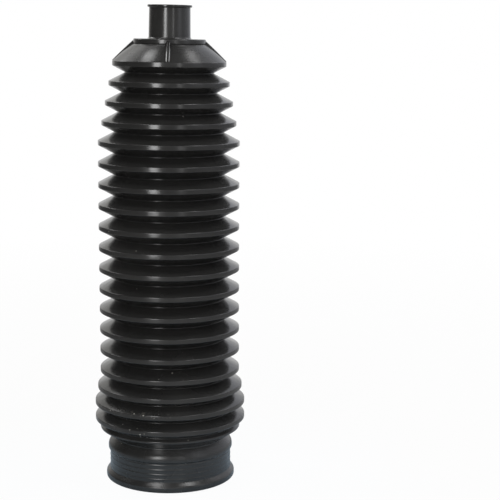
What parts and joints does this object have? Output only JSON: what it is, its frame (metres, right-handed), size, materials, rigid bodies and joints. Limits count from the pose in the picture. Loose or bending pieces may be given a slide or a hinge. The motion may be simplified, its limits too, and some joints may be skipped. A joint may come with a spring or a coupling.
{
  "type": "steering rack boot",
  "caption": "Black rubber bellows boot that seals a tie rod to its steering rack housing, with a wide cuff, tapering folds, a finned cone and a small neck.",
  "frame": {"origin": "centre of the large cuff's open end, which the boot stands on", "axes": "+Z along the boot's axis, from the large cuff towards the small neck; +X through one gusset fin"},
  "size_m": [0.0706, 0.0706, 0.2213],
  "materials": {
    "rubber": "black thermoplastic rubber with a moulded satin gloss"
  },
  "bodies": {
    "root": {"boot": "rubber"}
  },
  "joints": []
}
